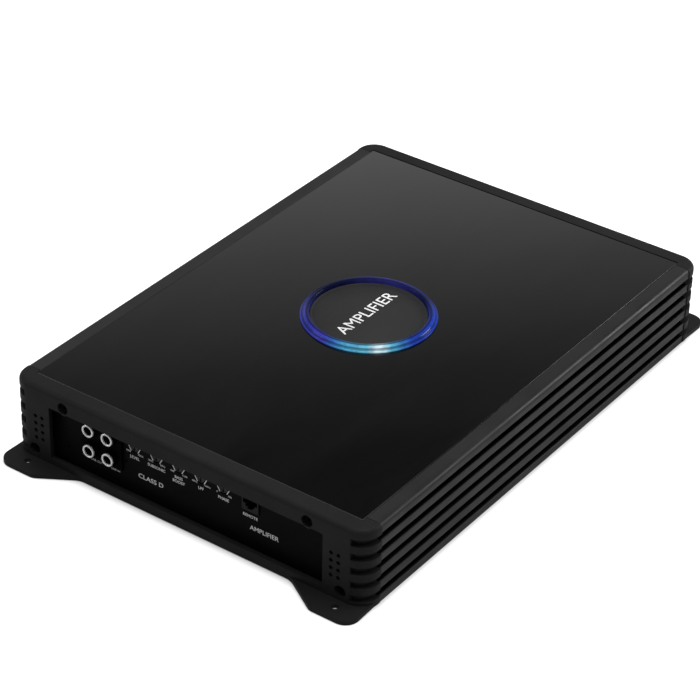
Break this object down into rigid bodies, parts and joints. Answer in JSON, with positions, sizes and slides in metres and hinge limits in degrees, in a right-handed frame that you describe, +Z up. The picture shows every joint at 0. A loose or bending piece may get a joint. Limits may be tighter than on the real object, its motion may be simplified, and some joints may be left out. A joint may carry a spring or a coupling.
{
  "type": "car amplifier",
  "caption": "Flat black car amplifier with finned metal sides, gloss top with a blue light ring, recessed dials and jacks, rear terminals and mounting feet.",
  "frame": {"origin": "middle of the underside, on the surface it rests on", "axes": "+Z up, -Y towards the control panel, +Y towards the terminals, +X to the right seen from the controls"},
  "size_m": [0.252, 0.3836, 0.0564],
  "materials": {
    "satin_black_aluminium": "satin fine-textured black coating on extruded aluminium",
    "satin_black_casting": "satin fine-textured black coating",
    "black_steel_sheet": "matt black powder coat",
    "gloss_black_panel": "high gloss black",
    "blue_light_ring": "translucent blue, lit from below",
    "satin_grey_disc": "satin dark grey",
    "matt_black_plate": "matt black with white print",
    "black_plastic": "moulded black plastic",
    "nickel_plate": "bright nickel plate",
    "zinc_steel": "zinc plated steel",
    "black_screw_steel": "black oxide steel",
    "fuse_plastic": "translucent green plastic",
    "lamp_lens": "diffuse clear lens",
    "circuit_board": "solder-masked glass-fibre board",
    "copper_winding": "enamelled copper wire",
    "capacitor_sleeve": "heat-shrunk sleeve"
  },
  "bodies": {
    "chassis": {"heatsink_shell": "satin_black_aluminium", "base_plate": "black_steel_sheet", "front_end_cap": "satin_black_casting", "rear_end_cap": "satin_black_casting", "top_panel": "gloss_black_panel", "light_ring": "blue_light_ring", "badge_disc": "satin_grey_disc", "ring_light_board": "circuit_board", "control_panel": "matt_black_plate", "terminal_panel": "matt_black_plate", "phono_jack_block": "black_plastic", "remote_jack": "black_plastic", "power_terminal_block": "black_plastic", "speaker_terminal_block": "black_plastic", "fuse_holder": "black_plastic", "power_lamp": "lamp_lens", "protect_lamp": "lamp_lens", "main_circuit_board": "circuit_board", "signal_board": "circuit_board", "supply_transformer": "copper_winding", "output_inductor": "copper_winding", "transistor_clamp_right": "zinc_steel", "transistor_clamp_left": "zinc_steel", "base_screw_1": "zinc_steel", "front_cap_screw_1": "black_screw_steel", "rear_cap_screw_1": "black_screw_steel", "phono_jack_shell_1": "nickel_plate", "base_screw_2": "zinc_steel", "front_cap_screw_2": "black_screw_steel", "rear_cap_screw_2": "black_screw_steel", "phono_jack_shell_2": "nickel_plate", "base_screw_3": "zinc_steel", "front_cap_screw_3": "black_screw_steel", "rear_cap_screw_3": "black_screw_steel", "phono_jack_shell_3": "nickel_plate", "base_screw_4": "zinc_steel", "front_cap_screw_4": "black_screw_steel", "rear_cap_screw_4": "black_screw_steel", "phono_jack_shell_4": "nickel_plate", "level_dial_body": "black_plastic", "subsonic_dial_body": "black_plastic", "bass_dial_body": "black_plastic", "lowpass_dial_body": "black_plastic", "phase_dial_body": "black_plastic", "supply_capacitor_1": "capacitor_sleeve", "supply_capacitor_2": "capacitor_sleeve", "supply_capacitor_3": "capacitor_sleeve"},
    "level_dial": {"level_dial_shaft": "black_plastic"},
    "subsonic_dial": {"subsonic_dial_shaft": "black_plastic"},
    "bass_dial": {"bass_dial_shaft": "black_plastic"},
    "lowpass_dial": {"lowpass_dial_shaft": "black_plastic"},
    "phase_dial": {"phase_dial_shaft": "black_plastic"},
    "positive_set_screw": {"positive_set_screw": "nickel_plate"},
    "remote_set_screw": {"remote_set_screw": "nickel_plate"},
    "ground_set_screw": {"ground_set_screw": "nickel_plate"},
    "speaker_plus_set_screw": {"speaker_plus_set_screw": "nickel_plate"},
    "speaker_minus_set_screw": {"speaker_minus_set_screw": "nickel_plate"},
    "fuse_1": {"fuse_1": "fuse_plastic"},
    "fuse_2": {"fuse_2": "fuse_plastic"},
    "fuse_3": {"fuse_3": "fuse_plastic"}
  },
  "joints": [
    {"name": "level_dial_turn", "type": "hinge", "parent": "chassis", "child": "level_dial", "pos_m": [-0.039, -0.1665, 0.0362], "axis": [0, 1, 0], "range_deg": [-150, 150]},
    {"name": "subsonic_dial_turn", "type": "hinge", "parent": "chassis", "child": "subsonic_dial", "pos_m": [-0.0231, -0.1665, 0.0362], "axis": [0, 1, 0], "range_deg": [-150, 150]},
    {"name": "bass_dial_turn", "type": "hinge", "parent": "chassis", "child": "bass_dial", "pos_m": [-0.0072, -0.1665, 0.0362], "axis": [0, 1, 0], "range_deg": [-150, 150]},
    {"name": "lowpass_dial_turn", "type": "hinge", "parent": "chassis", "child": "lowpass_dial", "pos_m": [0.0087, -0.1665, 0.0362], "axis": [0, 1, 0], "range_deg": [-150, 150]},
    {"name": "phase_dial_turn", "type": "hinge", "parent": "chassis", "child": "phase_dial", "pos_m": [0.0246, -0.1665, 0.0362], "axis": [0, 1, 0], "range_deg": [-150, 150]},
    {"name": "positive_set_screw_travel", "type": "slide", "parent": "chassis", "child": "positive_set_screw", "axis": [0, 0, -1], "range_m": [0, 0.0045]},
    {"name": "remote_set_screw_travel", "type": "slide", "parent": "chassis", "child": "remote_set_screw", "axis": [0, 0, -1], "range_m": [0, 0.0028]},
    {"name": "ground_set_screw_travel", "type": "slide", "parent": "chassis", "child": "ground_set_screw", "axis": [0, 0, -1], "range_m": [0, 0.0045]},
    {"name": "speaker_plus_set_screw_travel", "type": "slide", "parent": "chassis", "child": "speaker_plus_set_screw", "axis": [0, 0, -1], "range_m": [0, 0.0032]},
    {"name": "speaker_minus_set_screw_travel", "type": "slide", "parent": "chassis", "child": "speaker_minus_set_screw", "axis": [0, 0, -1], "range_m": [0, 0.0032]},
    {"name": "fuse_1_pull", "type": "slide", "parent": "chassis", "child": "fuse_1", "axis": [0, 1, 0], "range_m": [0, 0.014]},
    {"name": "fuse_2_pull", "type": "slide", "parent": "chassis", "child": "fuse_2", "axis": [0, 1, 0], "range_m": [0, 0.014]},
    {"name": "fuse_3_pull", "type": "slide", "parent": "chassis", "child": "fuse_3", "axis": [0, 1, 0], "range_m": [0, 0.014]}
  ]
}
